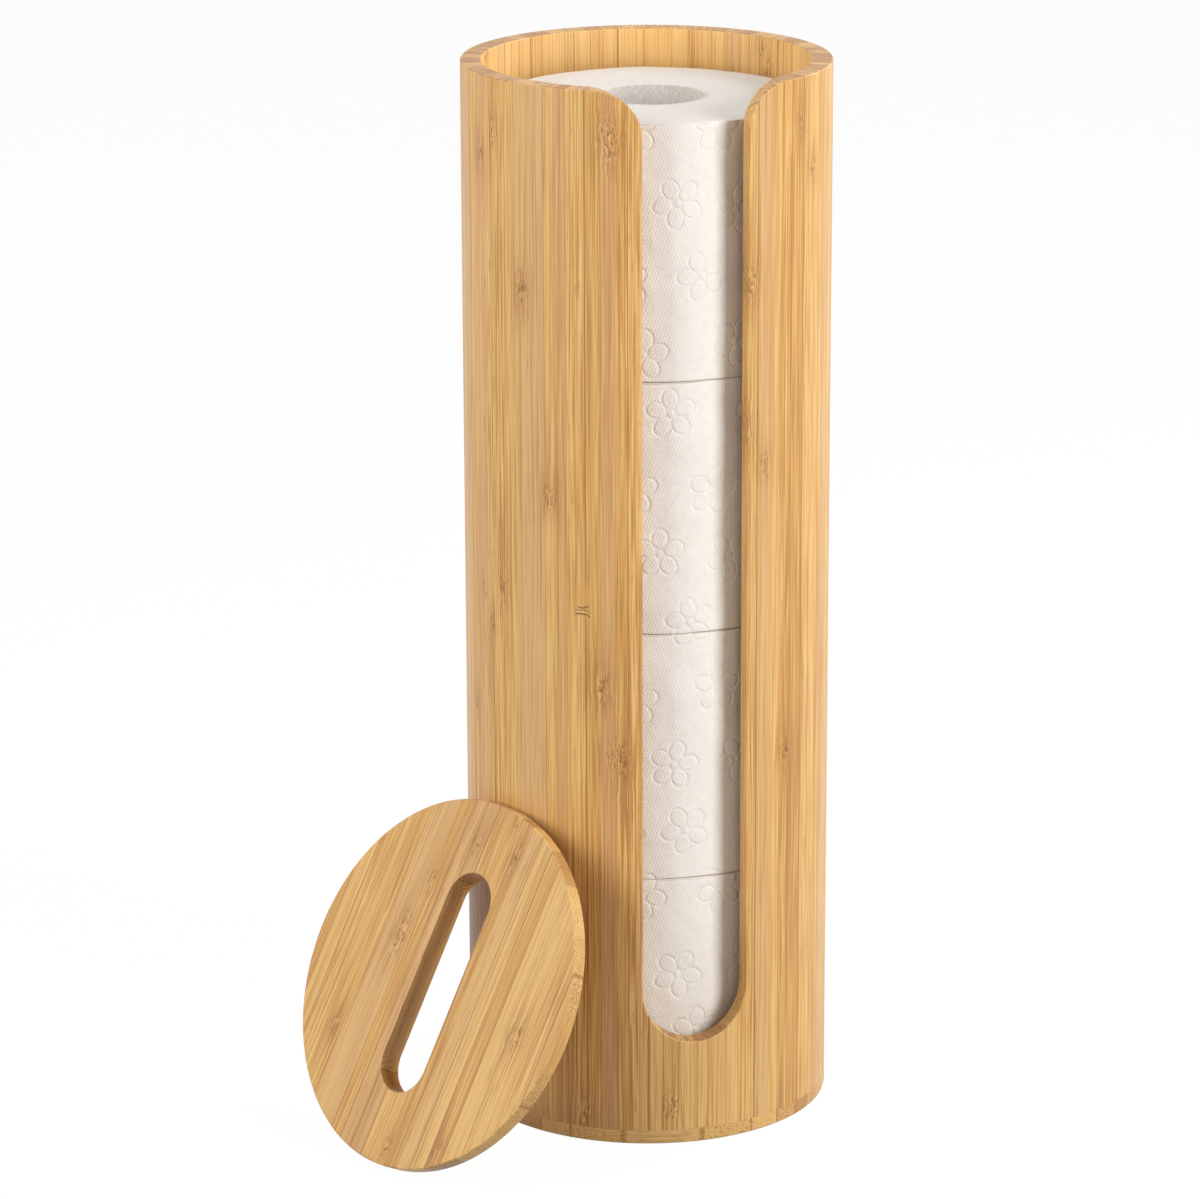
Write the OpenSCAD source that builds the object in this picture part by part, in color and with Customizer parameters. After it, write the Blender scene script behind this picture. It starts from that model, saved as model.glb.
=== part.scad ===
// Free-standing bamboo canister for a stack of toilet rolls, with a front slot and a lift-off lid.
// Millimetres. The origin is the middle of the base board's underside, +Z is up and the front
// slot faces -Y. The lid is off and leans against the wall, with its finger slot upright.

/* [Paper rolls] */
// Outer diameter of a paper roll
roll_d = 116; // [100:1:125]
// Height of a paper roll
roll_h = 97.4; // [85:0.2:110]
// Rounding of a paper roll's outer edges
roll_edge_r = 0.8; // [0.4:0.1:3]
// Outer diameter of the cardboard core
core_d = 42; // [36:1:50]
// Thickness of the cardboard core
core_t = 1; // [0.6:0.1:2]
// Rounding where the paper meets the core
core_edge_r = 0.6; // [0.2:0.1:1.5]
// How far the stack stands off the canister's middle
roll_shift = 2; // [0:0.25:3]

/* [Wall] */
// Gap round the rolls inside the wall
roll_gap = 4; // [3.5:0.5:10]
// Thickness of the wall
wall_t = 8; // [6:0.5:12]
// Height of the rim above the top roll
headroom = 14.3; // [10:0.1:40]
// Rounding of the rim's edges
rim_r = 0.7; // [0.3:0.1:2]

/* [Front slot] */
// Width of the front slot
slot_w = 40.5; // [28:0.5:50]
// Height of the slot's lowest point above the table
slot_bottom_z = 41.2; // [25:0.2:90]
// Radius of the shoulders where the slot meets the rim
shoulder_r = 17; // [6:1:20]

/* [Base board] */
// Thickness of the base board
base_t = 5.5; // [4:0.5:10]
// Rounding of the base board's lower edge
base_edge_r = 0.8; // [0.3:0.1:1.5]

/* [Lid] */
// How far the lid stands out past the wall
lid_overhang = 2; // [0.5:0.5:6]
// Thickness of the lid's flange
lid_flange_t = 5.9; // [4:0.1:10]
// Depth of the plug that drops into the wall
lid_plug_t = 3.7; // [1.5:0.1:6]
// Gap between the plug and the wall
lid_fit_gap = 0.5; // [0.3:0.1:1.5]
// Rounding of the flange's edges
lid_edge_r = 0.7; // [0.3:0.1:1.9]
// Rounding of the plug's lower edge
plug_edge_r = 0.5; // [0.2:0.1:1.2]
// Width of the finger slot
finger_w = 24.4; // [20:0.2:32]
// Length of the finger slot
finger_l = 88.6; // [60:0.2:100]

/* [Lid taken off] */
// Angle between the leaning lid and the upright wall
lid_lean = 26.8; // [15:0.1:40]
// Side of the canister that the lid leans on, counted from +X towards +Y
lid_side = 206.2; // [190:0.1:230]
// How far the leaning lid is turned about its own middle
lid_turn = 3.5; // [-15:0.1:15]
// Gap between the leaning lid and the wall
lid_wall_gap = 0.3; // [0.2:0.05:1]

/* [Hidden] */
$fn = 128;
// Staves in the wall
stave_count = 24;
// Rolls in the stack
roll_count = 4;
// How far a cut runs past the face that it opens
overrun = 1;
stave_names = [for (i = [1 : stave_count]) str("stave_", i < 10 ? "0" : "", i)];
paper_names = [for (i = [1 : roll_count]) str("paper_roll_", i)];
core_names = [for (i = [1 : roll_count]) str("core_", i)];

roll_r = roll_d / 2;
core_r = core_d / 2;
bore_r = roll_r + roll_gap;
wall_r = bore_r + wall_t;
rim_z = base_t + roll_count * roll_h + headroom;
stave_angle = 360 / stave_count;
// Angle of the slot's middle, where the first stave starts
front_angle = -90;
slot_half = slot_w / 2;
shoulder_x = slot_half + shoulder_r;
lid_r = wall_r + lid_overhang;
plug_r = bore_r - lid_fit_gap;
lid_t = lid_flange_t + lid_plug_t;
finger_r = finger_w / 2;
finger_straight = finger_l - finger_w;
// Middle of the leaning lid's outer face: its lowest edge is on the table, and the top edge of the
// flange, or of the plug if that reaches further back, is at the wall
flange_reach = lid_flange_t * cos(lid_lean) + lid_r * sin(lid_lean);
plug_reach = lid_t * cos(lid_lean) + plug_r * sin(lid_lean);
lid_out = wall_r + lid_wall_gap + max(flange_reach, plug_reach);
lid_up = lid_r * cos(lid_lean) + lid_flange_t * sin(lid_lean);

// What a rounding takes off the corner [x, z] of a profile; dx and dz point into the material
module corner_waste(x, z, dx, dz, r) {
    difference() {
        translate([x - (dx > 0 ? overrun : r), z - (dz > 0 ? overrun : r)])
            square(r + overrun);
        translate([x + dx * r, z + dz * r])
            circle(r = r);
    }
}

// The front slot as one solid, from outside the wall to the canister's axis
module slot_waste() {
    depth = wall_r + overrun;
    bottom_mid_z = slot_bottom_z + slot_half;
    shoulder_z = rim_z - shoulder_r;
    rotate([90, 0, 0]) {
        translate([0, bottom_mid_z, 0])
            cylinder(h = depth, r = slot_half);
        translate([-slot_half, bottom_mid_z, 0])
            cube([slot_w, rim_z + overrun - bottom_mid_z, depth]);
        difference() {
            translate([-shoulder_x, shoulder_z, 0])
                cube([2 * shoulder_x, shoulder_r + overrun, depth]);
            for (side = [-1, 1])
                translate([side * shoulder_x, shoulder_z, -overrun])
                    cylinder(h = depth + 2 * overrun, r = shoulder_r);
        }
    }
}

// One stave of the round wall; index 0 starts at the slot's middle and they run on towards +X
module stave(index) {
    color([0.84, 0.66, 0.42])
        difference() {
            rotate([0, 0, front_angle + index * stave_angle])
                rotate_extrude(angle = stave_angle)
                    difference() {
                        translate([bore_r, base_t])
                            square([wall_t, rim_z - base_t]);
                        corner_waste(bore_r, rim_z, 1, -1, rim_r);
                        corner_waste(wall_r, rim_z, -1, -1, rim_r);
                    }
            slot_waste();
        }
}

// The board that the staves and the rolls stand on
module base_board() {
    color([0.80, 0.61, 0.38])
        rotate_extrude()
            difference() {
                square([wall_r, base_t]);
                corner_waste(wall_r, 0, -1, 1, base_edge_r);
            }
}

// The lid as it lies on the wall: outer face up at z = 0, plug below
module lid_board() {
    difference() {
        rotate_extrude()
            difference() {
                union() {
                    translate([0, -lid_flange_t])
                        square([lid_r, lid_flange_t]);
                    translate([0, -lid_t])
                        square([plug_r, lid_t]);
                }
                corner_waste(lid_r, 0, -1, -1, lid_edge_r);
                corner_waste(lid_r, -lid_flange_t, -1, 1, lid_edge_r);
                corner_waste(plug_r, -lid_t, -1, 1, plug_edge_r);
            }
        translate([0, 0, -lid_t - overrun]) {
            for (side = [-1, 1])
                translate([side * finger_straight / 2, 0, 0])
                    cylinder(h = lid_t + 2 * overrun, r = finger_r);
            translate([-finger_straight / 2, -finger_r, 0])
                cube([finger_straight, finger_w, lid_t + 2 * overrun]);
        }
    }
}

// The lid, taken off and leaning against the wall
module lid() {
    color([0.86, 0.68, 0.44])
        rotate([0, 0, lid_side])
            translate([lid_out, 0, lid_up])
                rotate([0, 90 - lid_lean, 0])
                    rotate([0, 0, -lid_turn])
                        lid_board();
}

// Height of a roll's lower face; index 0 is the lowest roll
function roll_z(index) = base_t + index * roll_h;

// Paper winding of one roll, a ring round its core
module paper_roll(index) {
    color([0.95, 0.94, 0.91])
        translate([roll_shift, 0, roll_z(index)])
            rotate_extrude()
                difference() {
                    translate([core_r, 0])
                        square([roll_r - core_r, roll_h]);
                    corner_waste(roll_r, 0, -1, 1, roll_edge_r);
                    corner_waste(roll_r, roll_h, -1, -1, roll_edge_r);
                    corner_waste(core_r, 0, 1, 1, core_edge_r);
                    corner_waste(core_r, roll_h, 1, -1, core_edge_r);
                }
}

// Cardboard core of one roll
module core(index) {
    color([0.66, 0.64, 0.61])
        translate([roll_shift, 0, roll_z(index)])
            rotate_extrude()
                translate([core_r - core_t, 0])
                    square([core_t, roll_h]);
}

for (i = [0 : stave_count - 1]) stave(i);
base_board();
lid();
for (i = [0 : roll_count - 1]) paper_roll(i);
for (i = [0 : roll_count - 1]) core(i);
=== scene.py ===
import math

import bmesh
import bpy
import numpy as np
from bpy.props import FloatProperty, FloatVectorProperty, IntProperty, PointerProperty
from mathutils import Matrix, Vector


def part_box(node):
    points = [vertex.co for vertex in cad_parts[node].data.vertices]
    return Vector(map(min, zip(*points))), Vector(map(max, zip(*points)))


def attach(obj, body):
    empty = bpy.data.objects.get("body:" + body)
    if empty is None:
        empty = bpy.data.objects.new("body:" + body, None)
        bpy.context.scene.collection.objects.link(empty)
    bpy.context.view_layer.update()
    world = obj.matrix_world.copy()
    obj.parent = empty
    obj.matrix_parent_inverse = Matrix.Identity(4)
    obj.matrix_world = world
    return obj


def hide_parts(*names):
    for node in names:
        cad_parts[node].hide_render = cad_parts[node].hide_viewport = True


bl_info = {
    "name": "Bamboo Roll Canister",
    "version": (1, 0, 0),
    "blender": (4, 5, 0),
    "location": "View3D > Sidebar > Canister",
    "description": "Builds a bamboo canister with its staves, base board, lid and paper rolls",
    "category": "Object",
}

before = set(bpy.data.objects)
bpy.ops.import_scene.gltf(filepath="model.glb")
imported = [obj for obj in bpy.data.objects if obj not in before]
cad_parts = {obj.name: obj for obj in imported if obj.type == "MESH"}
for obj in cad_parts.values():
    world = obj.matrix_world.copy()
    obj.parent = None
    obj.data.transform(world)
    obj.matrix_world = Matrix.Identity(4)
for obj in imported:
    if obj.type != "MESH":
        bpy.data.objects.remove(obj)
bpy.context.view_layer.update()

MM = 0.001
FULL_TURN = 2 * math.pi
HALF_TURN = math.pi
QUARTER_TURN = math.pi / 2

# Names and sizes that the frame gives; the stave that starts at +X gives the bore
STAVES = sorted(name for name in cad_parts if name.startswith("stave_"))
ROLLS = sorted(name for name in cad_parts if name.startswith("paper_roll_"))
CORES = sorted(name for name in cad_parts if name.startswith("core_"))
STAVE_ANGLE = FULL_TURN / len(STAVES)
side_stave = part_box(STAVES[len(STAVES) // 4])
base_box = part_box("base_board")
roll_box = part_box(ROLLS[0])
core_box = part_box(CORES[0])
WALL_RADIUS = base_box[1].x
BORE_RADIUS = side_stave[0].x / math.cos(STAVE_ANGLE)
WALL_THICKNESS = WALL_RADIUS - BORE_RADIUS
BASE_THICKNESS = base_box[1].z
RIM_HEIGHT = side_stave[1].z
ROLL_RADIUS = (roll_box[1].x - roll_box[0].x) / 2
ROLL_SHIFT = (roll_box[1].x + roll_box[0].x) / 2
ROLL_HEIGHT = roll_box[1].z - roll_box[0].z
CORE_RADIUS = (core_box[1].x - core_box[0].x) / 2

# How close counts as one place, how close vertices merge, and how blunt an edge is drawn smooth
SAME_PLACE, MERGE_DISTANCE = 0.01 * MM, 0.001 * MM
SMOOTH_ANGLE = math.radians(32)

# The photograph's camera, in the object's frame
CAMERA_PLACE = (-0.51204, -1.83443, 0.75747)
CAMERA_HEADING = math.radians(-15.0496)
CAMERA_PITCH = 0.285939
CAMERA_ROLL = 0.003528
CAMERA_LENS, CAMERA_SENSOR = 154.123, 36.0

# Softboxes: name, degrees round from the slot, degrees up, and width and height in metres
SOFTBOXES = (
    ("left", -75, 21, 1.2, 0.9),
    ("front", 37, 20, 0.5, 0.8),
    ("right", 108, 32, 0.8, 0.8),
    ("top", 150, 76, 0.9, 0.9),
)
SOFTBOX_DISTANCE = 1.5
WHITE = (1, 1, 1, 1)
# The floor's own colour, and the white glow that takes most of its place where it is seen
FLOOR_COLOUR, FLOOR_GLOW, GLOW_SHARE = (0.32, 0.32, 0.32, 1), 1.12, 0.86

# Sockets of a Mix node for colours
MIX_SHARE, MIX_FIRST, MIX_SECOND, MIX_RESULT = 0, 6, 7, 2


def length(label, text, value):
    """A size that a user may change, in metres."""
    return FloatProperty(
        name=label, description=text, default=value, min=0, unit="LENGTH", precision=5
    )


def turn(label, text, degrees):
    """An angle that a user may change."""
    return FloatProperty(
        name=label, description=text, default=math.radians(degrees), unit="ROTATION"
    )


def power(label, text, watts):
    """The power of a lamp."""
    return FloatProperty(name=label, description=text, default=watts, min=0, unit="POWER")


def tint(label, text, colour):
    """A colour that a user may change."""
    return FloatVectorProperty(
        name=label, description=text, default=colour, size=3, min=0, max=1, subtype="COLOR"
    )


class CanisterSizes(bpy.types.PropertyGroup):
    """Sizes of the wall, the slot and the base board."""

    slot_width: length("Slot width", "Width of the front slot", 0.0405)
    slot_foot: length("Slot foot", "Height of the slot's lowest point", 0.0412)
    shoulder_radius: length("Shoulder radius", "Round where the slot meets the rim", 0.017)
    rim_rounding: length("Edge rounding", "Rounding of the rim and of the slot's edges", 0.0007)
    joint_rounding: length("Joint rounding", "Rounding where the wall meets the base board", 0.0001)
    base_rounding: length("Base rounding", "Rounding of the base board's lower edge", 0.0008)
    columns: IntProperty(name="Columns", description="Facets round the wall", default=288, min=96)
    strips: IntProperty(name="Strips", description="Bamboo strips in one stave", default=3, min=1)


class LidSizes(bpy.types.PropertyGroup):
    """Sizes of the lid, and how it leans on the wall."""

    overhang: length("Overhang", "How far the lid stands out past the wall", 0.002)
    flange: length("Flange", "Thickness of the lid's flange", 0.0059)
    plug: length("Plug depth", "Depth of the plug under the flange", 0.0037)
    plug_gap: length("Plug gap", "Gap between the plug and the wall", 0.0005)
    edge_rounding: length("Edge rounding", "Rounding of the flange's edges", 0.0007)
    finger_rounding: length("Finger slot rounding", "Rounding of the finger slot's edges", 0.0003)
    plug_rounding: length("Plug rounding", "Rounding of the plug's lower edge", 0.0005)
    finger_width: length("Finger slot width", "Width of the finger slot", 0.0244)
    finger_length: length("Finger slot length", "Length of the finger slot", 0.0886)
    lean: turn("Lean", "Angle between the leaning lid and the wall", 26.8)
    side: turn("Side", "Side of the canister that the lid leans on, from +X", 206.2)
    own_turn: turn("Own turn", "How far the lid is turned about its middle", 3.5)
    wall_gap: length("Wall gap", "Gap between the leaning lid and the wall", 0.0003)
    facets: IntProperty(name="Facets", description="Facets round the lid", default=192, min=64)


class RollSizes(bpy.types.PropertyGroup):
    """Sizes of the paper rolls and their cores."""

    edge_rounding: length("Edge rounding", "Rounding of a roll's outer edges", 0.0007)
    bore_rounding: length("Bore rounding", "Rounding of the paper at the core", 0.0006)
    core_wall: length("Core wall", "Thickness of the cardboard core", 0.001)
    softness: length("Softness", "How far the soft paper sinks in", 0.00025)
    facets: IntProperty(name="Facets", description="Facets round a roll", default=384, min=96)


class CanisterColours(bpy.types.PropertyGroup):
    """Colours of the bamboo, the tissue and the core board."""

    light: tint("Light bamboo", "The lightest strips", (0.82, 0.515, 0.19))
    middle: tint("Honey bamboo", "Most of the strips", (0.67, 0.36, 0.105))
    dark: tint("Dark bamboo", "The darkest strips and the fibres", (0.46, 0.215, 0.066))
    rosy: tint("Rosy bamboo", "Strips with a pink cast", (0.64, 0.39, 0.195))
    joint: tint("Joint", "Glue lines and knuckle streaks", (0.23, 0.09, 0.02))
    end_grain: tint("End grain", "Strips cut across at the rim", (0.46, 0.215, 0.055))
    tissue: tint("Tissue", "The paper of the rolls", (0.93, 0.885, 0.83))
    core_board: tint("Core board", "The cardboard of the cores", (0.77, 0.73, 0.69))


class StudioSettings(bpy.types.PropertyGroup):
    """The studio's lamps and floor."""

    left_power: power("Left lamp", "Power of the wide softbox on the left", 17.3)
    front_power: power("Front lamp", "Power of the main softbox, right of the camera", 18.5)
    right_power: power("Right lamp", "Power of the softbox on the far right", 10.0)
    top_power: power("Top lamp", "Power of the softbox overhead", 5.0)
    sky: FloatProperty(name="Sky", description="Strength of the light from all round", default=0.14)
    floor_size: length("Floor", "Width of the floor", 14.0)


class Wire:
    """A value on its way through a material's nodes; sums on it add Math nodes."""

    def __init__(self, finish, socket):
        self.finish = finish
        self.socket = socket

    def math(self, operation, *others):
        values = dict(enumerate((self, *others)))
        return self.finish.add("ShaderNodeMath", {"operation": operation}, values)

    def __add__(self, other):
        return self.math("ADD", other)

    def __sub__(self, other):
        return self.math("SUBTRACT", other)

    def __rsub__(self, other):
        return self.finish.add("ShaderNodeMath", {"operation": "SUBTRACT"}, {0: other, 1: self})

    def __mul__(self, other):
        return self.math("MULTIPLY", other)

    def __truediv__(self, other):
        return self.math("DIVIDE", other)

    __radd__ = __add__
    __rmul__ = __mul__

    def floor(self):
        return self.math("FLOOR")

    def absolute(self):
        return self.math("ABSOLUTE")

    def sine(self):
        return self.math("SINE")

    def cosine(self):
        return self.math("COSINE")

    def smaller(self, other):
        return self.math("MINIMUM", other)

    def larger(self, other):
        return self.math("MAXIMUM", other)

    def root(self):
        return self.math("SQRT")

    def bell(self, width):
        """1 where the value is zero, falling smoothly to 0 past the width."""
        share = self / width
        return (share * share * -1).math("EXPONENT")

    def step(self, low, high):
        """0 below low and 1 above high, smooth in between."""
        return self.finish.add(
            "ShaderNodeMapRange",
            {"interpolation_type": "SMOOTHSTEP"},
            {"Value": self, "From Min": low, "From Max": high},
        )

    def white(self, seed):
        """A random number from 0 to 1 for each whole number."""
        settings = {"noise_dimensions": "1D"}
        return self.finish.add("ShaderNodeTexWhiteNoise", settings, {"W": self + (seed + 0.5)})


class Finish:
    """A procedural material, or the world's light, and the nodes that make it up."""

    def __init__(self, name, family="materials"):
        self.owner = getattr(bpy.data, family).new(name)
        self.owner.use_nodes = True
        self.tree = self.owner.node_tree
        self.tree.nodes.clear()

    def add(self, kind, settings=(), inputs=(), output=0):
        """Adds one node, makes its settings, fills its sockets and gives one of its outputs."""
        node = self.tree.nodes.new(kind)
        for name, value in dict(settings).items():
            setattr(node, name, value)
        for name, value in dict(inputs).items():
            if isinstance(value, Wire):
                self.tree.links.new(value.socket, node.inputs[name])
            else:
                node.inputs[name].default_value = value
        return Wire(self, node.outputs[output]) if node.outputs else None

    def place(self):
        """Where a point lies on its own object."""
        return self.add("ShaderNodeTexCoord", output="Object")

    def facing(self):
        """Which way the surface faces at a point."""
        return self.add("ShaderNodeTexCoord", output="Normal")

    def parts(self, vector):
        """The x, y and z of a vector."""
        split = self.add("ShaderNodeSeparateXYZ", (), {0: vector})
        outputs = split.socket.node.outputs
        return Wire(self, outputs[0]), Wire(self, outputs[1]), Wire(self, outputs[2])

    def vector(self, x, y, z):
        return self.add("ShaderNodeCombineXYZ", (), {0: x, 1: y, 2: z})

    def noise(self, x, y, z, detail=2.0, roughness=0.5, distortion=0.0):
        """Soft noise from 0 to 1, one patch for each unit of x, y and z."""
        sockets = {"Vector": self.vector(x, y, z), "Scale": 1.0, "Detail": detail}
        sockets.update({"Roughness": roughness, "Distortion": distortion})
        return self.add("ShaderNodeTexNoise", {"noise_dimensions": "3D"}, sockets)

    def mix(self, first, second, share):
        """A colour between two colours."""
        first, second = (c if isinstance(c, Wire) else (*c, 1.0) for c in (first, second))
        sockets = {MIX_SHARE: share, MIX_FIRST: first, MIX_SECOND: second}
        return self.add("ShaderNodeMix", {"data_type": "RGBA"}, sockets, output=MIX_RESULT)

    def bump(self, height, distance):
        return self.add("ShaderNodeBump", (), {"Height": height, "Distance": distance})

    def seen(self):
        """1 for rays of the camera, of mirror images and through glass, 0 for all other light."""
        rays = ("Is Camera Ray", "Is Glossy Ray", "Is Transmission Ray")
        camera, glossy, through = (self.add("ShaderNodeLightPath", output=ray) for ray in rays)
        return camera.larger(glossy).larger(through)

    def surface(self, colour, roughness, normal, specular):
        """Ends the material in one surface shader."""
        sockets = {"Base Color": colour, "Roughness": roughness, "Normal": normal}
        sockets["Specular IOR Level"] = specular
        shader = self.add("ShaderNodeBsdfPrincipled", (), sockets)
        self.add("ShaderNodeOutputMaterial", (), {"Surface": shader})
        return self.owner


def bamboo_grain(
    finish, colours, across, depth, along, run, strip_width, apart, end_cut, end_run, end_pale,
    lift=0.0,
):
    """Colour and height of laminated bamboo; across, depth and along are in millimetres.

    run counts the strips, each strip_width across. apart is how far the nearest knuckle is, in
    knuckle widths. end_cut is 1 where the strips are cut across: there, end_run is how quickly
    the marks change through the depth, and end_pale how light the cut is. lift is how much
    lighter the strips are; on the wall it holds painted light and painted shade besides darker
    strips.
    """
    strip, border = run.floor(), (run + 0.5).floor()
    edge_gap = (run - border).absolute() * strip_width
    # Each strip has its own place in the noise, its coarseness and its tone
    own = strip.white(61) * 700
    coarse, tone = strip.white(41), strip.white(3)
    knuckle, halo = apart.bell(1.0), apart.bell(2.2)
    # The fibres wander, and swerve round a knuckle
    drift = finish.noise(across * 0.05, own, along * 0.015, 1.0) - 0.5
    swerve = finish.noise(across * 0.3, own, along * 0.12, 1.0) - 0.5
    fibre_place = across + drift * 1.4 + swerve * halo * 2.6
    fibre_depth = depth + drift * 1.2

    def streaks(fineness, lengthwise, detail=0.5, twist=0.0):
        """Noise in patches that are drawn out along the strips, so many to a millimetre."""
        place = (fibre_place * fineness, fibre_depth * fineness + own, along * lengthwise)
        return finish.noise(*place, detail, 0.6, twist)

    hairs = streaks(1.9, 0.03)
    lines = streaks(1.0, 0.008, 1.0)
    bands = streaks(0.3, 0.004, 1.0)
    ticks = streaks(1.5, 0.1)
    threads = (streaks(0.6, 0.005) - 0.5).absolute()
    swirl = streaks(1.3, 0.4, 1.0, 0.9)
    cloud = finish.noise(across * 0.05, depth * 0.05, along * 0.02, 1.0)
    # From dark through middle to light
    level = (tone - 0.5) * 0.55 + (bands - 0.5) * 0.55 + (cloud - 0.5) * 0.35 + (0.62 + lift)
    level = level + (hairs - 0.5) * (coarse * 1.2 + 1.3) + (lines - 0.5) * 1.1 - halo * 0.22
    body = finish.mix(colours.dark, colours.middle, level.step(-0.25, 0.55))
    body = finish.mix(body, colours.light, level.step(0.35, 1.1))
    body = finish.mix(body, colours.rosy, strip.white(11).step(0.7, 0.85) * 0.4)
    # Dark threads and dashes all over, flames round a knuckle and streaks on it
    thread = threads.bell(0.035) * lines.step(0.62, 0.4) * (coarse * 0.5 + 0.35)
    dash = ticks.step(0.36, 0.26) * coarse.step(0.25, 0.9) * 0.6
    flame = hairs.step(0.58, 0.42) * halo * 0.7
    body = finish.mix(body, colours.dark, thread.larger(dash).larger(flame))
    body = finish.mix(body, colours.light, swirl.step(0.55, 0.64) * knuckle * 0.6)
    streak = swirl.step(0.46, 0.38) * knuckle
    body = finish.mix(body, colours.joint, streak * 0.85)
    # Glue lines between the strips
    seam = (1 - edge_gap.step(0.08, 0.4)) * (border.white(29).step(0.3, 0.9) * 0.6 + 0.06)
    body = finish.mix(body, colours.joint, seam)
    # End grain
    marks = finish.noise(across * 2.0, depth * end_run + own, along * 1.1, 1.0, 0.6)
    marks = marks + (tone - 0.5) * 0.2
    pores = finish.mix(colours.end_grain, colours.light, end_pale)
    pores = finish.mix(pores, colours.light, marks.step(0.49, 0.58) * 0.85)
    pores = finish.mix(pores, colours.dark, marks.step(0.47, 0.37) * 0.85)
    pores = finish.mix(pores, colours.dark, strip.white(53).step(0.72, 0.8) * 0.6)
    pores = finish.mix(pores, colours.joint, seam * 0.8)
    body = finish.mix(body, pores, end_cut)
    height = hairs * 0.5 + ticks.step(0.26, 0.36) * 0.4 - seam * 0.4 - streak * 0.7
    return body, height


def satin(finish, colour, height):
    """Ends a bamboo material; what stands higher is a little glossier."""
    relief = finish.bump(height, 0.00012)
    return finish.surface(colour, roughness=0.46 - height * 0.06, normal=relief, specular=0.35)


def to_nearest(finish, across, along, places):
    """Distance to the nearest of some knuckles, 1 at its width or height.

    Each of the places is across and along, and the size as a share of a knuckle's usual size.
    """
    apart = OUT_OF_REACH
    for x, y, size in places:
        settings = {"operation": "DISTANCE"}
        width, height = KNUCKLE_WIDTH * size, KNUCKLE_HEIGHT * size
        here = finish.vector(across / width, along / height, 0.0)
        sockets = {0: here, 1: (x / width, y / height, 0.0)}
        gap = finish.add("ShaderNodeVectorMath", settings, sockets, output="Value")
        apart = gap.smaller(apart)
    return apart


# Usual size of a knuckle in millimetres, and a distance in knuckle widths that is past them all
KNUCKLE_WIDTH, KNUCKLE_HEIGHT, OUT_OF_REACH = 2.8, 6.5, 9.0
# Knuckles that show from the front: degrees round the wall from the slot, millimetres up and size
WALL_KNUCKLES = (
    (-70, 389, 0.8), (-77, 380, 0.7), (-27, 391, 1.3), (39, 393, 0.7), (46, 375, 0.7),
    (18, 336, 0.9), (16, 280, 1.0), (23, 266, 0.7), (-47, 255, 0.8), (-77, 213, 0.6),
    (-66, 215, 0.8), (-72, 201, 0.7), (-29, 182, 1.0), (-84, 165, 0.6), (-24, 155, 1.2),
    (-8, 15, 0.9), (-36, 10, 1.1), (116, 395, 0.9), (119, 405, 0.8), (-57, 332, 0.9),
    (33, 151, 0.8),
)
# The knuckle left as a ridge: degrees round from the slot and millimetres up
RIDGE_TURN, RIDGE_HEIGHT = -35.6, 212.0
# The wall that shows from the front: its middle, how far it reaches and where the rest starts
SEEN_MIDDLE, SEEN_END, HIDDEN_START = -0.28, 1.5, 1.55
# Knuckles on the lid and the base board: millimetres along and across the strips, and size
LID_KNUCKLES = (
    (-55, -8, 0.7), (-34, -23, 0.7), (-56, 15, 0.8), (-69, 9, 0.6), (-11, -28, 1.2), (-5, -29, 0.8),
    (3, 51, 1.0), (32, -43, 0.7), (65, 9, 0.7), (56, 35, 0.7),
)
BASE_KNUCKLES = ((30, -58, 0.8), (-40, -66, 0.8), (10, 20, 0.8))
# Where each count of strips starts: the fraction places the seams, the whole number picks the tones
WALL_PHASE, LID_PHASE, BASE_PHASE = 6278, 5890.43, 3073.873
# Widths of the boards' strips in millimetres, and how far the base board's are turned
LID_STRIP, BASE_STRIP, BASE_TURN = 7.0, 7.7, math.radians(-10.7)


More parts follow.
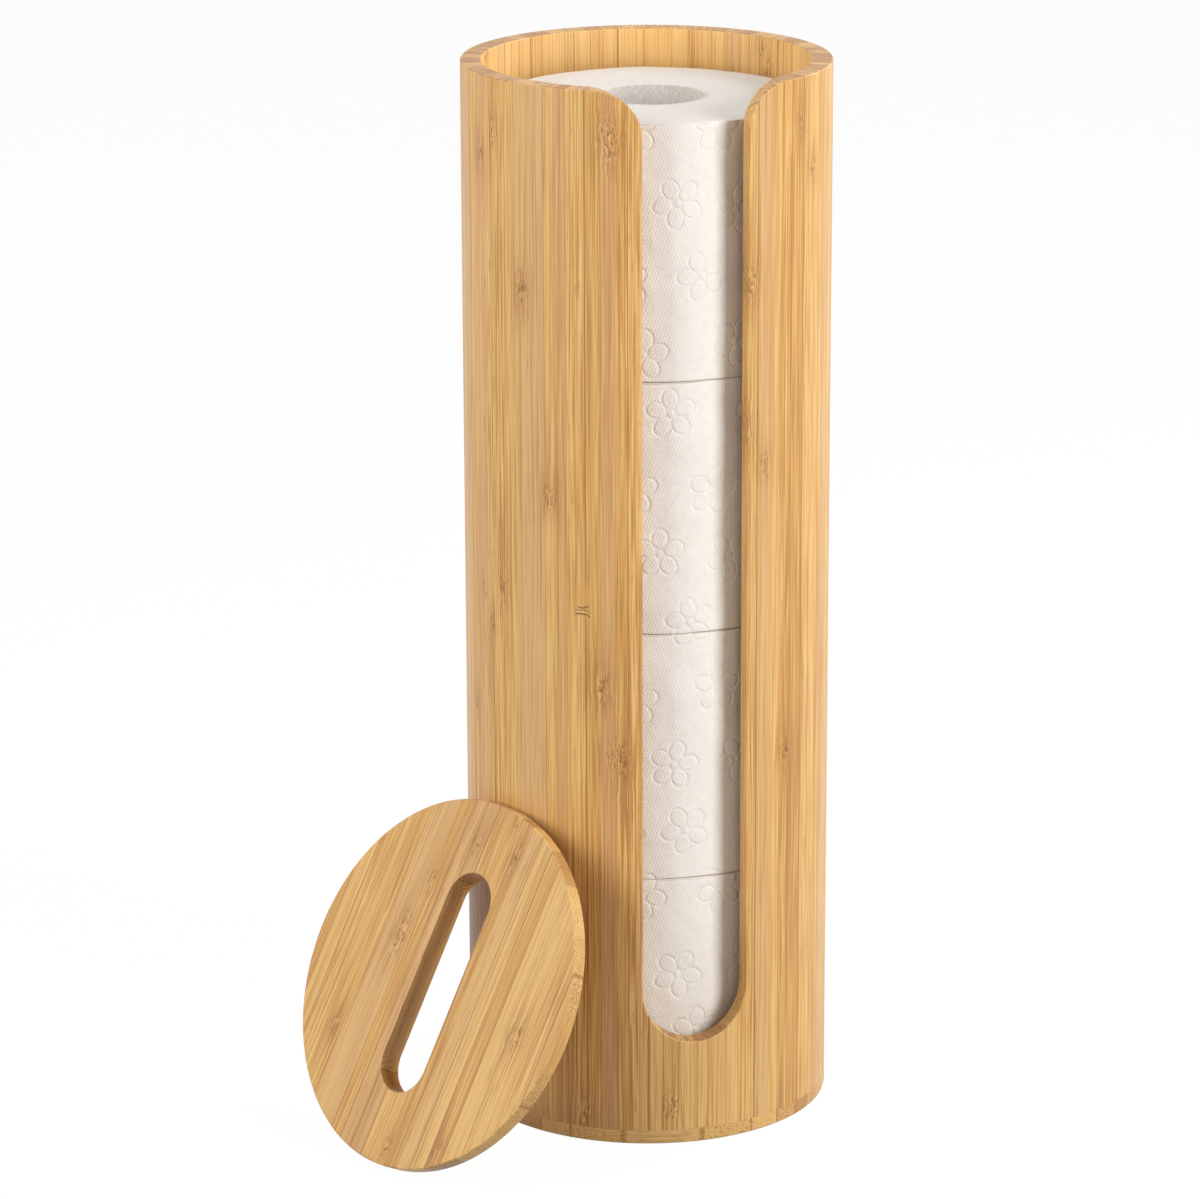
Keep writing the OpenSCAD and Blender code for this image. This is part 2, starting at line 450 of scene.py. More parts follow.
def wall_finish(colours, sizes):
    """Upright bamboo strips round the wall, with end grain on the rim."""
    finish = Finish("bamboo_wall")
    x, y, z = (part / MM for part in finish.parts(finish.place()))
    angle = x.math("ARCTAN2", y * -1)
    depth = (x * x + y * y).root()
    wall_radius = WALL_RADIUS / MM
    around = angle * wall_radius
    stave = (angle / STAVE_ANGLE).floor()
    within = angle / STAVE_ANGLE - stave
    # The strips of a stave aren't all of one width
    wave = (within * FULL_TURN).sine() * (stave.white(5) - 0.5) * 0.14
    lean = (within * HALF_TURN).sine() * (stave.white(7) - 0.5) * 0.16
    run = (stave + within + wave + lean) * sizes.strips + WALL_PHASE
    strip = run.floor()
    inside = run - strip
    strip_width = WALL_RADIUS * STAVE_ANGLE / sizes.strips / MM
    places = [(math.radians(turned) * wall_radius, up, size) for turned, up, size in WALL_KNUCKLES]
    apart = to_nearest(finish, around, z, places)
    # Where the wall doesn't show, about half of the strips have knuckles at random heights
    spacing, tall = 260.0, 7.5
    rise = z / spacing + strip.white(17)
    level = (rise - rise.floor() - 0.5) * spacing
    hidden = (angle - SEEN_MIDDLE).absolute().step(SEEN_END, HIDDEN_START)
    hidden = hidden * strip.white(23).step(0.45, 0.5)
    drop, slide = level / tall, (inside - 0.5) * (strip_width / 3.0)
    apart = apart.smaller((drop * drop + slide * slide).root() + (1 - hidden) * OUT_OF_REACH)
    end_cut = finish.parts(finish.facing())[2].step(0.5, 0.9)
    # Painted light and shade: paler in the bore and at the slot's sill, darker in a band on the
    # left and at its foot
    # Painted light: the bore, the wall's inside, is painted paler as if lit more brightly than the
    # outside
    bore = depth.step(wall_radius - 5.0, wall_radius - 7.0)
    # A band on the left is darker: partly the strips' own darker tone, partly painted shade of the
    # leaning lid
    dark_band_and_painted_shade = (angle + math.radians(27)).bell(0.22)
    # Painted shadow of the leaning lid, darker low down on the left of the wall
    foot = (angle + math.radians(42)).bell(0.45) * z.step(190, 70)
    # Painted light: a paler patch on the wall under the slot's sill
    sill = (angle + math.radians(6)).bell(0.2) * z.step(60, 42)
    lift = bore * 0.4 + sill * 0.3 - dark_band_and_painted_shade * 0.28 - foot * 0.28
    end_run, end_pale = 0.12, 0.0
    colour, height = bamboo_grain(
        finish, colours, around, depth, z, run, strip_width, apart, end_cut, end_run, end_pale, lift
    )
    return satin(finish, *left_ridge(finish, colours, around, z, colour, height))


def left_ridge(finish, colours, around, up, colour, height):
    """One knuckle that was left as a ridge across its strip, with a smooth patch above it."""
    across = around - math.radians(RIDGE_TURN) * WALL_RADIUS / MM
    above = up - RIDGE_HEIGHT
    # Over the ridge, within its strip, are a dark smile and the smooth patch
    strip = 1 - across.absolute().step(2.7, 3.2)
    patch = (above - 6.5).bell(4.5) * strip
    smile = (above - 1.5 - across * across * 0.13 - across * 0.12).bell(0.3)
    smile = smile * (1 - across.absolute().step(1.9, 2.6))
    bend = across.step(1.4, 2.8) * 0.8
    upper = (above + bend - 0.5).bell(0.32) * strip
    lower = (above + bend + 0.85).bell(0.34) * strip
    crest = (above + bend + 0.15).bell(0.42) * strip
    colour = finish.mix(colour, colours.middle, patch * 0.75)
    colour = finish.mix(colour, colours.light, crest * 0.9)
    colour = finish.mix(colour, colours.joint, smile.larger(upper * 0.75).larger(lower * 0.9))
    return colour, height + crest * 1.5 - smile - upper * 0.6 - lower * 0.6


def board_finish(name, colours, strip_width, phase, matrix, knuckles):
    """Laminated board whose strips run along its own X; matrix places the board."""
    finish = Finish(name)
    settings, angles = {"vector_type": "TEXTURE"}, matrix.to_euler()
    sockets = {"Vector": finish.place(), "Location": matrix.translation, "Rotation": angles}
    local = finish.add("ShaderNodeMapping", settings, sockets)
    x, y, z = (part / MM for part in finish.parts(local))
    run = y / strip_width + phase
    places = [(across, along, size) for along, across, size in knuckles]
    apart = to_nearest(finish, y, x, places)
    sockets = {"Vector": finish.facing(), "Rotation": angles}
    normal = finish.parts(finish.add("ShaderNodeMapping", settings, sockets))
    end_cut = normal[0].absolute().step(0.12, 0.2)
    end_run, end_pale = 2.2, 0.6
    colour, height = bamboo_grain(
        finish, colours, y, z, x, run, strip_width, apart, end_cut, end_run, end_pale
    )
    return satin(finish, colour, height)


def on_roll(finish, radius):
    """Where a point is on a roll: across, into it, up and round it at a radius, in millimetres."""
    x, y, z = finish.parts(finish.place())
    angle = (x - ROLL_SHIFT).math("ARCTAN2", y * -1)
    return x / MM, y / MM, z / MM, angle * (radius / MM)


def tissue_finish(colours):
    """Soft white tissue with a fine diagonal emboss and daisies in outline."""
    finish = Finish("tissue")
    x, y, up, around = on_roll(finish, ROLL_RADIUS)
    # Two sets of fine slanting lines, soft creases and the daisies
    hatch = ((around + up * 0.9) * 4.6).sine() + ((around - up * 0.35) * 4.9).sine()
    crease = finish.noise(around * 0.09, up * 0.09, 0.0, 3.0, 0.5)
    flower = daisy_outline(finish, around, up)
    side = 1 - finish.parts(finish.facing())[2].absolute().step(0.5, 0.8)
    height = (hatch * 0.04 + crease * 0.9 - flower * 0.34) * side
    soft = finish.noise(x * 0.3, y * 0.3, up * 0.3, 2.0, 0.5)
    shade = tuple(c * 0.97 for c in colours.tissue)
    colour = finish.mix(colours.tissue, shade, soft.step(0.4, 0.7))
    relief = finish.bump(height, 0.0006)
    return finish.surface(colour, roughness=0.95, normal=relief, specular=0.2)


def daisy_outline(finish, around, up):
    """Lines of five-petalled daisies in staggered rows, in millimetres."""
    pitch, row_pitch, petals = 31.0, 27.0, 5
    petal_reach, petal_length, petal_width, line = 5.6, 3.9, 3.1, 0.16
    row = (up / row_pitch).floor()
    column_place = around / pitch + row * 0.37
    column = column_place.floor()
    # A number of its own for each daisy, which shifts and turns it
    cell = column * 13.7 + row * 5.3
    dx = (column_place - column - 0.5) * pitch + (cell.white(2) - 0.5) * 8.0
    dy = (up / row_pitch - row - 0.5) * row_pitch + (cell.white(4) - 0.5) * 6.0
    reach = (dx * dx + dy * dy).root()
    petal_turn = FULL_TURN / petals
    facing = dy.math("ARCTAN2", dx) / petal_turn + cell.white(6)
    facing = (facing - facing.floor() - 0.5) * petal_turn
    px = (reach * facing.cosine() - petal_reach) / petal_length
    py = reach * facing.sine() / petal_width
    petal = ((px * px + py * py).root() - 1).bell(line)
    heart = (reach - 1.5).bell(0.4)
    return petal.larger(heart)


def core_finish(colours):
    """Grey recycled board, wound on a slant."""
    finish = Finish("core_board")
    _, _, up, around = on_roll(finish, CORE_RADIUS)
    slant = around * 0.8 + up * 0.6
    fibre = finish.noise(slant * 1.8, (around - up) * 0.25, 0.0, 3.0, 0.6)
    speck = finish.noise(around * 1.1, up * 1.1, 5.0, 2.0, 0.7)
    pale = tuple(min(1.0, c * 1.25) for c in colours.core_board)
    colour = finish.mix(colours.core_board, pale, fibre.step(0.35, 0.65))
    dark = tuple(c * 0.6 for c in colours.core_board)
    colour = finish.mix(colour, dark, speck.step(0.68, 0.74))
    relief = finish.bump(fibre, 0.0003)
    return finish.surface(colour, roughness=0.9, normal=relief, specular=0.2)


def start_alone():
    """Leaves edit mode and selects nothing."""
    if bpy.context.object and bpy.context.object.mode != "OBJECT":
        bpy.ops.object.mode_set(mode="OBJECT")
    bpy.ops.object.select_all(action="DESELECT")


def settle():
    """Writes the active piece's place, turn and scale into its mesh."""
    bpy.ops.object.transform_apply(location=True, rotation=True, scale=True)


def copied_to(original, place):
    """A copy of a piece with its own mesh, moved to a place."""
    start_alone()
    original.select_set(True)
    bpy.context.view_layer.objects.active = original
    bpy.ops.object.duplicate()
    copy = bpy.context.object
    copy.location = place
    settle()
    return copy


def upright_sheet(middle, width, height):
    """A flat sheet that faces the front."""
    start_alone()
    bpy.ops.mesh.primitive_plane_add(size=1, location=middle, rotation=(QUARTER_TURN, 0, 0))
    sheet = bpy.context.object
    sheet.scale = (width, height, 1)
    settle()
    return sheet


def choose(piece, kind, test):
    """In edit mode, selects only the vertices, edges or faces that pass the test."""
    bpy.ops.mesh.select_mode(type=kind)
    bpy.ops.mesh.select_all(action="DESELECT")
    mesh = bmesh.from_edit_mesh(piece.data)
    for item in {"VERT": mesh.verts, "EDGE": mesh.edges, "FACE": mesh.faces}[kind]:
        if test(item):
            item.select_set(True)
    mesh.select_flush_mode()
    bmesh.update_edit_mesh(piece.data)


def near(value, target):
    return abs(value - target) < SAME_PLACE


def at_height(part, height):
    """Whether an edge or a face lies all at one height."""
    return all(near(v.co.z, height) for v in part.verts)


def cut(point, normal, **settings):
    """Bisects what is selected in edit mode."""
    bpy.ops.mesh.bisect(plane_co=point, plane_no=normal, threshold=MERGE_DISTANCE, **settings)


def cut_all(point, normal, **settings):
    """Bisects the whole piece in edit mode."""
    bpy.ops.mesh.select_all(action="SELECT")
    cut(point, normal, **settings)


def merge_doubles():
    """In edit mode, merges the vertices that lie at one place."""
    bpy.ops.mesh.select_all(action="SELECT")
    bpy.ops.mesh.remove_doubles(threshold=MERGE_DISTANCE)


def round_corners(piece, test, radius, segments):
    """Rounds the chosen corners of a flat outline."""
    choose(piece, "VERT", test)
    bpy.ops.mesh.bevel(offset=radius, segments=segments, affect="VERTICES", clamp_overlap=False)


def round_edges(piece, test, radius, segments):
    """Rounds the chosen edges of a solid."""
    choose(piece, "EDGE", test)
    bpy.ops.mesh.bevel(offset=radius, segments=segments, affect="EDGES", clamp_overlap=False)


def give_thickness(piece, thickness):
    """Thickens a flat sheet behind its face."""
    modifier = piece.modifiers.new("thickness", "SOLIDIFY")
    modifier.thickness = thickness
    modifier.offset = -1
    bpy.ops.object.modifier_apply(modifier=modifier.name)


def finish_piece(piece, name, material, body, slot, *nodes):
    """Names a piece, shades it, gives it its finish and hangs it on its body."""
    piece.name = name
    piece.data.name = name
    bpy.ops.object.shade_smooth_by_angle(angle=SMOOTH_ANGLE)
    if slot != "tissue":
        weigh = piece.modifiers.new("flat_faces", "WEIGHTED_NORMAL")
        weigh.keep_sharp = True
        bpy.ops.object.modifier_apply(modifier=weigh.name)
    piece.data.materials.clear()
    piece.data.materials.append(material)
    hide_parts(*nodes)
    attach(piece, body)


# The wall is laid out flat and then wrapped; this much of its front is drawn as seen from the front
FRONT_HALF = 0.040
FRONT_ANGLE = math.asin(FRONT_HALF / WALL_RADIUS)


def run_at(angle):
    """Place along the flat panel of an angle round the wall."""
    if abs(angle) <= FRONT_ANGLE:
        return WALL_RADIUS * math.sin(angle)
    return math.copysign(FRONT_HALF + WALL_RADIUS * (abs(angle) - FRONT_ANGLE), angle)


def wrapped(run, depth):
    """Where a point of the flat panel comes to lie round the wall."""
    radius = WALL_RADIUS - depth
    if abs(run) <= FRONT_HALF:
        return run, -math.sqrt(radius * radius - run * run)
    outer = FRONT_ANGLE + (abs(run) - FRONT_HALF) / WALL_RADIUS
    spread = math.asin(FRONT_HALF / radius) - FRONT_ANGLE
    fade = min(1.0, (outer - FRONT_ANGLE) / (QUARTER_TURN - FRONT_ANGLE))
    angle = outer + spread * (1 - fade)
    return math.copysign(radius * math.sin(angle), run), -radius * math.cos(angle)


class CANISTER_OT_build_wall(bpy.types.Operator):
    """Build the round wall and saw it into its staves"""

    bl_idname = "canister.build_wall"
    bl_label = "Build the Wall"

    def flat_panel(self, sizes):
        """The wall laid out flat: x runs round it, y into it and z up."""
        half_slot = sizes.slot_width / 2
        height = RIM_HEIGHT - BASE_THICKNESS
        middle = (0, 0, BASE_THICKNESS + height / 2)

        def in_slot(face):
            return abs(face.calc_center_median().x) < half_slot

        def at_corner(vertex, level):
            return near(abs(vertex.co.x), half_slot) and near(vertex.co.z, level)

        panel = upright_sheet(middle, 2 * run_at(HALF_TURN), height)
        bpy.ops.object.mode_set(mode="EDIT")
        for side in (-half_slot, half_slot):
            cut_all((side, 0, 0), (1, 0, 0))
        choose(panel, "FACE", in_slot)
        cut((0, 0, sizes.slot_foot), (0, 0, 1))
        choose(panel, "FACE", lambda f: in_slot(f) and f.calc_center_median().z > sizes.slot_foot)
        bpy.ops.mesh.delete(type="FACE")
        bpy.ops.mesh.select_all(action="SELECT")
        bpy.ops.mesh.dissolve_limited(angle_limit=math.radians(1))
        shoulder = sizes.shoulder_radius
        round_corners(panel, lambda v: at_corner(v, RIM_HEIGHT), shoulder, segments=24)
        round_corners(panel, lambda v: at_corner(v, sizes.slot_foot), half_slot, segments=32)
        merge_doubles()
        bpy.ops.object.mode_set(mode="OBJECT")
        give_thickness(panel, WALL_THICKNESS)
        return panel

    def round_and_wrap(self, panel, sizes):
        """Rounds the panel's edges, cuts it into columns and wraps it into a ring."""
        end = run_at(HALF_TURN)

        def on_face(edge):
            return near(edge.verts[0].co.y, edge.verts[1].co.y)

        def at_end(edge):
            return all(near(abs(v.co.x), end) for v in edge.verts)

        def at_rim(edge):
            return on_face(edge) and not at_height(edge, BASE_THICKNESS) and not at_end(edge)

        def at_joint(edge):
            outside = on_face(edge) and near(edge.verts[0].co.y, 0)
            return outside and at_height(edge, BASE_THICKNESS)

        bpy.ops.object.mode_set(mode="EDIT")
        round_edges(panel, at_rim, sizes.rim_rounding, segments=4)
        round_edges(panel, at_joint, sizes.joint_rounding, segments=2)
        choose(panel, "FACE", lambda f: near(abs(f.calc_center_median().x), end))
        bpy.ops.mesh.delete(type="ONLY_FACE")
        for column in range(1, sizes.columns):
            cut_all((run_at(FULL_TURN * column / sizes.columns - HALF_TURN), 0, 0), (1, 0, 0))
        bpy.ops.object.mode_set(mode="OBJECT")
        for vertex in panel.data.vertices:
            vertex.co.x, vertex.co.y = wrapped(vertex.co.x, vertex.co.y)
        bpy.ops.object.mode_set(mode="EDIT")
        merge_doubles()
        bpy.ops.object.mode_set(mode="OBJECT")

    def execute(self, context):
        sizes = context.scene.canister_sizes
        material = wall_finish(context.scene.canister_colours, sizes)
        ring = self.flat_panel(sizes)
        self.round_and_wrap(ring, sizes)
        for index, node in enumerate(STAVES):
            stave = copied_to(ring, (0, 0, 0))
            bpy.ops.object.mode_set(mode="EDIT")
            for side, removed in ((index, "clear_inner"), (index + 1, "clear_outer")):
                normal = (math.cos(side * STAVE_ANGLE), math.sin(side * STAVE_ANGLE), 0)
                cut_all((0, 0, 0), normal, use_fill=True, **{removed: True})
            bpy.ops.object.mode_set(mode="OBJECT")
            finish_piece(stave, "bamboo_" + node, material, "holder", "bamboo_wall", node)
        bpy.data.objects.remove(ring)
        return {"FINISHED"}


class CANISTER_OT_build_base(bpy.types.Operator):
    """Build the board that the staves stand on"""

    bl_idname = "canister.build_base"
    bl_label = "Build the Base Board"

    def execute(self, context):
        sizes = context.scene.canister_sizes
        start_alone()
        bpy.ops.mesh.primitive_cylinder_add(
            vertices=sizes.columns,
            radius=WALL_RADIUS,
            depth=BASE_THICKNESS,
            location=(0, 0, BASE_THICKNESS / 2),
        )
        board = context.object
        settle()
        bpy.ops.object.mode_set(mode="EDIT")
        for height, rounding, segments in (
            (0, sizes.base_rounding, 4),
            (BASE_THICKNESS, sizes.joint_rounding, 2),
        ):
            round_edges(board, lambda e: at_height(e, height), rounding, segments)
        bpy.ops.object.mode_set(mode="OBJECT")
        colours = context.scene.canister_colours
        matrix = Matrix.Rotation(BASE_TURN, 4, "Z")
        material = board_finish(
            "bamboo_base", colours, BASE_STRIP, BASE_PHASE, matrix, BASE_KNUCKLES
        )
        finish_piece(board, "bamboo_base_board", material, "holder", "bamboo_board", "base_board")
        return {"FINISHED"}


def finger_slot(sizes):
    """Radius of the finger slot's ends, and how far their middles are from the lid's middle."""
    return sizes.finger_width / 2, (sizes.finger_length - sizes.finger_width) / 2


class CANISTER_OT_build_lid(bpy.types.Operator):
    """Build the lid with its plug and finger slot, leaning on the wall"""

    bl_idname = "canister.build_lid"
    bl_label = "Build the Lid"

    def flat_lid(self, sizes, lid_radius, plug_radius):
        """The lid lying flat, outer face up at z = 0."""
        finger_radius, reach = finger_slot(sizes)
        start_alone()
        bpy.ops.mesh.primitive_circle_add(
            vertices=sizes.facets, radius=finger_radius, rotation=(0, 0, HALF_TURN / sizes.facets)
        )
        lid = bpy.context.object
        settle()
        bpy.ops.object.mode_set(mode="EDIT")
        bpy.ops.mesh.select_all(action="SELECT")
        for inner, outer in ((finger_radius, plug_radius), (plug_radius, lid_radius)):
            bpy.ops.mesh.extrude_edges_move()
            bpy.ops.transform.resize(value=(outer / inner,) * 3, center_override=(0, 0, 0))
        for side in (-1, 1):
            choose(lid, "VERT", lambda v: v.co.x * side > 0 and near(v.co.length, finger_radius))
            bpy.ops.transform.translate(value=(side * reach, 0, 0))
        bpy.ops.mesh.select_all(action="SELECT")
        bpy.ops.mesh.normals_make_consistent(inside=False)
        if bmesh.from_edit_mesh(lid.data).faces[:][0].normal.z < 0:
            bpy.ops.mesh.flip_normals()
        bpy.ops.object.mode_set(mode="OBJECT")
        give_thickness(lid, sizes.flange)
        return lid

    def shape(self, lid, sizes, lid_radius, plug_radius):
        """Draws the plug out of the lower face and rounds the edges."""
        finger_radius, reach = finger_slot(sizes)
        bottom = -sizes.flange - sizes.plug
        # How far a vertex of the finger slot's edge may lie off its outline
        slack = 0.1 * MM

        def on_plug(face):
            return all(v.co.to_2d().length < plug_radius + SAME_PLACE for v in face.verts)

        def on_circle(edge, radius):
            return all(near(v.co.to_2d().length, radius) for v in edge.verts)

        def on_finger_slot(edge):
            beyond = [(max(0.0, abs(v.co.x) - reach), v.co.y) for v in edge.verts]
            return all(math.hypot(x, y) < finger_radius + slack for x, y in beyond)

        bpy.ops.object.mode_set(mode="EDIT")
        choose(lid, "FACE", lambda f: at_height(f, -sizes.flange) and on_plug(f))
        bpy.ops.mesh.extrude_region_move(TRANSFORM_OT_translate={"value": (0, 0, -sizes.plug)})
        for height in (0, -sizes.flange):
            round_edges(
                lid,
                lambda e: at_height(e, height) and on_circle(e, lid_radius),
                sizes.edge_rounding,
                segments=4,
            )
        for height in (0, bottom):
            round_edges(
                lid,
                lambda e: at_height(e, height) and on_finger_slot(e),
                sizes.finger_rounding,
                segments=3,
            )
        round_edges(
            lid,
            lambda e: at_height(e, bottom) and on_circle(e, plug_radius),
            sizes.plug_rounding,
            segments=3,
        )
        bpy.ops.object.mode_set(mode="OBJECT")

    def leaning(self, sizes, lid_radius, plug_radius):
        """How the flat lid is turned and moved to lean on the wall with its edge on the table."""
        upright, back = math.cos(sizes.lean), math.sin(sizes.lean)
        flange_reach = sizes.flange * upright + lid_radius * back
        plug_reach = (sizes.flange + sizes.plug) * upright + plug_radius * back
        out = WALL_RADIUS + sizes.wall_gap + max(flange_reach, plug_reach)
        return (
            Matrix.Rotation(sizes.side, 4, "Z")
            @ Matrix.Translation((out, 0, lid_radius * upright + sizes.flange * back))
            @ Matrix.Rotation(QUARTER_TURN - sizes.lean, 4, "Y")
            @ Matrix.Rotation(-sizes.own_turn, 4, "Z")
        )

    def execute(self, context):
        sizes = context.scene.canister_lid
        lid_radius = WALL_RADIUS + sizes.overhang
        plug_radius = BORE_RADIUS - sizes.plug_gap
        lid = self.flat_lid(sizes, lid_radius, plug_radius)
        self.shape(lid, sizes, lid_radius, plug_radius)
        matrix = self.leaning(sizes, lid_radius, plug_radius)
        lid.matrix_world = matrix
        settle()
        colours = context.scene.canister_colours
        material = board_finish("bamboo_lid", colours, LID_STRIP, LID_PHASE, matrix, LID_KNUCKLES)
        finish_piece(lid, "bamboo_lid", material, "lid", "bamboo_board", "lid")
        return {"FINISHED"}


def spun_ring(inner, outer, height, outer_round, inner_round, facets, rows, rings):
    """A ring with rounded edges, standing on z = 0 round the origin.

    Its outer side is cut into rows and its ends into rings.
    """
    ring = upright_sheet(((inner + outer) / 2, 0, height / 2), outer - inner, height)
    bpy.ops.object.mode_set(mode="EDIT")
    round_corners(ring, lambda v: near(v.co.x, outer), outer_round, segments=4)
    round_corners(ring, lambda v: near(v.co.x, inner), inner_round, segments=3)
    choose(ring, "EDGE", lambda e: all(near(v.co.x, outer) for v in e.verts))
    bpy.ops.mesh.subdivide(number_cuts=rows)
    for level in (0, height):
        choose(ring, "EDGE", lambda e: at_height(e, level))
        bpy.ops.mesh.subdivide(number_cuts=rings)
    bpy.ops.mesh.select_all(action="SELECT")
    bpy.ops.mesh.delete(type="ONLY_FACE")
    bpy.ops.mesh.select_all(action="SELECT")
    bpy.ops.mesh.spin(steps=facets, angle=FULL_TURN, center=(0, 0, 0), axis=(0, 0, 1))
    merge_doubles()
    bpy.ops.mesh.normals_make_consistent(inside=False)
    bpy.ops.object.mode_set(mode="OBJECT")
    return ring


def wander(points, pitch, seed):
    """A smooth wave in space, about -1 to 1, with patches of about the pitch."""
    picker = np.random.default_rng(seed)
    waves = 8
    total = np.zeros(len(points))
    for _ in range(waves):
        way = picker.normal(size=3)
        way *= FULL_TURN / pitch / np.linalg.norm(way) / picker.uniform(0.7, 1.5)
        total += np.sin(points @ way + picker.uniform(0, FULL_TURN))
    return np.clip(total / 3, -1, 1)


class CANISTER_OT_build_rolls(bpy.types.Operator):
    """Build the paper of the four rolls"""

    bl_idname = "canister.build_rolls"
    bl_label = "Build the Paper Rolls"

    def soften(self, roll, sizes, floor_height, seed):
        """Lets the soft paper sink in a little on its side and ends."""
        edge, long_wave, short_wave, end_wave = 1.5 * MM, 45 * MM, 16 * MM, 30 * MM
        places = np.empty(len(roll.data.vertices) * 3)
        roll.data.vertices.foreach_get("co", places)
        places = places.reshape(-1, 3)
        out = places[:, :2] - (ROLL_SHIFT, 0)
        radius = np.hypot(out[:, 0], out[:, 1])
        side = np.clip((radius - ROLL_RADIUS) / edge + 1, 0, 1)
        wave = wander(places, long_wave, seed) + 0.5 * wander(places, short_wave, seed + 1)
        sink = side * sizes.softness * (wave + 1.5)
        places[:, :2] -= out / radius[:, None] * sink[:, None]
        rise = places[:, 2] - floor_height - ROLL_HEIGHT / 2
        end = np.clip((np.abs(rise) - ROLL_HEIGHT / 2) / MM + 1, 0, 1) * (radius > CORE_RADIUS + MM)
        slack = sizes.softness * (1 + wander(places, end_wave, seed + 2)) * (0.2 + 0.8 * side)
        places[:, 2] -= np.sign(rise) * end * slack
        roll.data.vertices.foreach_set("co", places.ravel())
        roll.data.update()

    def execute(self, context):
        sizes = context.scene.canister_rolls
        material = tissue_finish(context.scene.canister_colours)
        roundings = sizes.edge_rounding, sizes.bore_rounding
        winding = spun_ring(
            CORE_RADIUS, ROLL_RADIUS, ROLL_HEIGHT, *roundings, sizes.facets, rows=64, rings=14
        )
        for index, node in enumerate(ROLLS):
            floor_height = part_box(node)[0].z
            roll = copied_to(winding, (ROLL_SHIFT, 0, floor_height))
            self.soften(roll, sizes, floor_height, 10 * index)
            finish_piece(roll, node + "_tissue", material, f"roll_{index + 1}", "tissue", node)
        bpy.data.objects.remove(winding)
        return {"FINISHED"}


class CANISTER_OT_build_cores(bpy.types.Operator):
    """Build the cardboard cores of the rolls"""

    bl_idname = "canister.build_cores"
    bl_label = "Build the Cores"

    def execute(self, context):
        sizes = context.scene.canister_rolls
        material = core_finish(context.scene.canister_colours)
        bore, rounding, facets = CORE_RADIUS - sizes.core_wall, 0.2 * MM, 128
        tube = spun_ring(
            bore, CORE_RADIUS, ROLL_HEIGHT, rounding, rounding, facets, rows=6, rings=1
        )
        for index, node in enumerate(CORES):
            core = copied_to(tube, (ROLL_SHIFT, 0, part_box(node)[0].z))
            finish_piece(core, node + "_board", material, f"roll_{index + 1}", "core_board", node)
        bpy.data.objects.remove(tube)
        return {"FINISHED"}


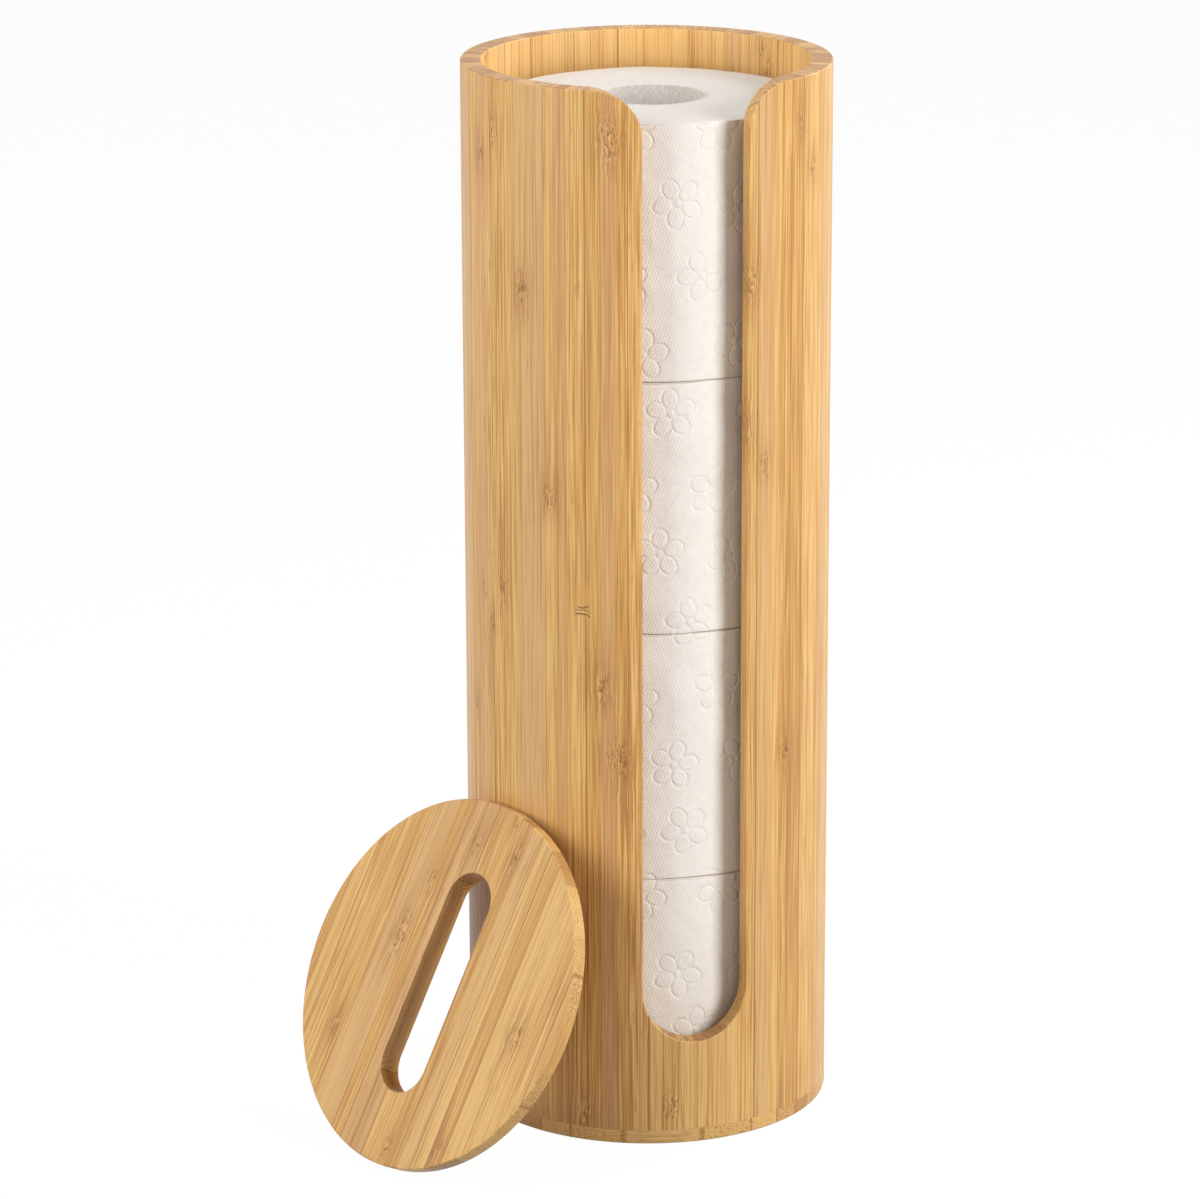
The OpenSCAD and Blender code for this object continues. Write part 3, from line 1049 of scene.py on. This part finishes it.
class CANISTER_OT_build_studio(bpy.types.Operator):
    """Build the floor, the white surroundings, the lamps and the camera"""

    bl_idname = "canister.build_studio"
    bl_label = "Build the Studio"

    def floor(self, settings):
        """A white floor that keeps a faint shadow of what stands on it."""
        start_alone()
        bpy.ops.mesh.primitive_plane_add(size=settings.floor_size)
        floor = bpy.context.object
        floor.name = "studio_floor"
        finish = Finish("studio_floor")
        paper = finish.add("ShaderNodeBsdfDiffuse", (), {"Color": FLOOR_COLOUR})
        glow = finish.add("ShaderNodeEmission", (), {"Color": WHITE, "Strength": FLOOR_GLOW})
        share = finish.seen() * GLOW_SHARE
        both = finish.add("ShaderNodeMixShader", (), {0: share, 1: paper, 2: glow})
        finish.add("ShaderNodeOutputMaterial", (), {"Surface": both})
        floor.data.materials.append(finish.owner)

    def surroundings(self, scene, settings):
        """Plain light from all round, and white where the camera or a reflection sees it."""
        finish = Finish("studio", "worlds")
        light = finish.add("ShaderNodeBackground", (), {"Color": WHITE, "Strength": settings.sky})
        white = finish.add("ShaderNodeBackground", (), {"Color": WHITE})
        both = finish.add("ShaderNodeMixShader", (), {0: finish.seen(), 1: light, 2: white})
        finish.add("ShaderNodeOutputWorld", (), {"Surface": both})
        scene.world = finish.owner

    def lamp(self, name, watts, heading, height, width, tall):
        """A softbox that faces the canister's middle; heading 0 is in front of the slot."""
        aim = Vector((0, 0, RIM_HEIGHT / 2))
        flat = math.cos(height)
        away = Vector((math.sin(heading) * flat, -math.cos(heading) * flat, math.sin(height)))
        start_alone()
        bpy.ops.object.light_add(type="AREA", location=aim + away * SOFTBOX_DISTANCE)
        lamp = bpy.context.object
        lamp.name = name
        lamp.data.shape = "RECTANGLE"
        lamp.data.size, lamp.data.size_y = width, tall
        lamp.data.energy = watts
        lamp.rotation_euler = away.to_track_quat("Z", "Y").to_euler()

    def camera(self, scene):
        bpy.ops.object.camera_add(location=CAMERA_PLACE)
        camera = bpy.context.object
        turns = (
            Matrix.Rotation(CAMERA_HEADING, 4, "Z")
            @ Matrix.Rotation(QUARTER_TURN - CAMERA_PITCH, 4, "X")
            @ Matrix.Rotation(-CAMERA_ROLL, 4, "Z")
        )
        camera.rotation_euler = turns.to_euler()
        camera.data.lens = CAMERA_LENS
        camera.data.sensor_width = CAMERA_SENSOR
        camera.data.sensor_fit = "HORIZONTAL"
        camera.data.clip_start, camera.data.clip_end = 0.01, 50.0
        scene.camera = camera

    def execute(self, context):
        settings = context.scene.canister_studio
        self.floor(settings)
        self.surroundings(context.scene, settings)
        for side, heading, height, width, tall in SOFTBOXES:
            watts = getattr(settings, side + "_power")
            turns = math.radians(heading), math.radians(height)
            self.lamp(side + "_softbox", watts, *turns, width, tall)
        self.camera(context.scene)
        context.scene.view_settings.view_transform = "Standard"
        return {"FINISHED"}


class CANISTER_PT_panel(bpy.types.Panel):
    """Sizes, colours and steps of the canister"""

    bl_idname = "CANISTER_PT_panel"
    bl_label = "Bamboo Roll Canister"
    bl_space_type = "VIEW_3D"
    bl_region_type = "UI"
    bl_category = "Canister"

    def draw(self, context):
        for title, group in GROUPS.items():
            box = self.layout.box()
            box.label(text=title.replace("_", " ").title())
            settings = getattr(context.scene, title)
            for name in group.__annotations__:
                box.prop(settings, name)
        for step in STEPS:
            self.layout.operator(step.bl_idname)


GROUPS = {
    "canister_sizes": CanisterSizes,
    "canister_lid": LidSizes,
    "canister_rolls": RollSizes,
    "canister_colours": CanisterColours,
    "canister_studio": StudioSettings,
}
STEPS = (
    CANISTER_OT_build_studio,
    CANISTER_OT_build_wall,
    CANISTER_OT_build_base,
    CANISTER_OT_build_lid,
    CANISTER_OT_build_rolls,
    CANISTER_OT_build_cores,
)
CLASSES = (*GROUPS.values(), *STEPS, CANISTER_PT_panel)


def register():
    for each in CLASSES:
        bpy.utils.register_class(each)
    for name, group in GROUPS.items():
        setattr(bpy.types.Scene, name, PointerProperty(type=group))


def unregister():
    for name in GROUPS:
        delattr(bpy.types.Scene, name)
    for each in reversed(CLASSES):
        bpy.utils.unregister_class(each)


def main():
    register()
    for step in STEPS:
        family, name = step.bl_idname.split(".")
        getattr(getattr(bpy.ops, family), name)()


if __name__ == "__main__":
    main()
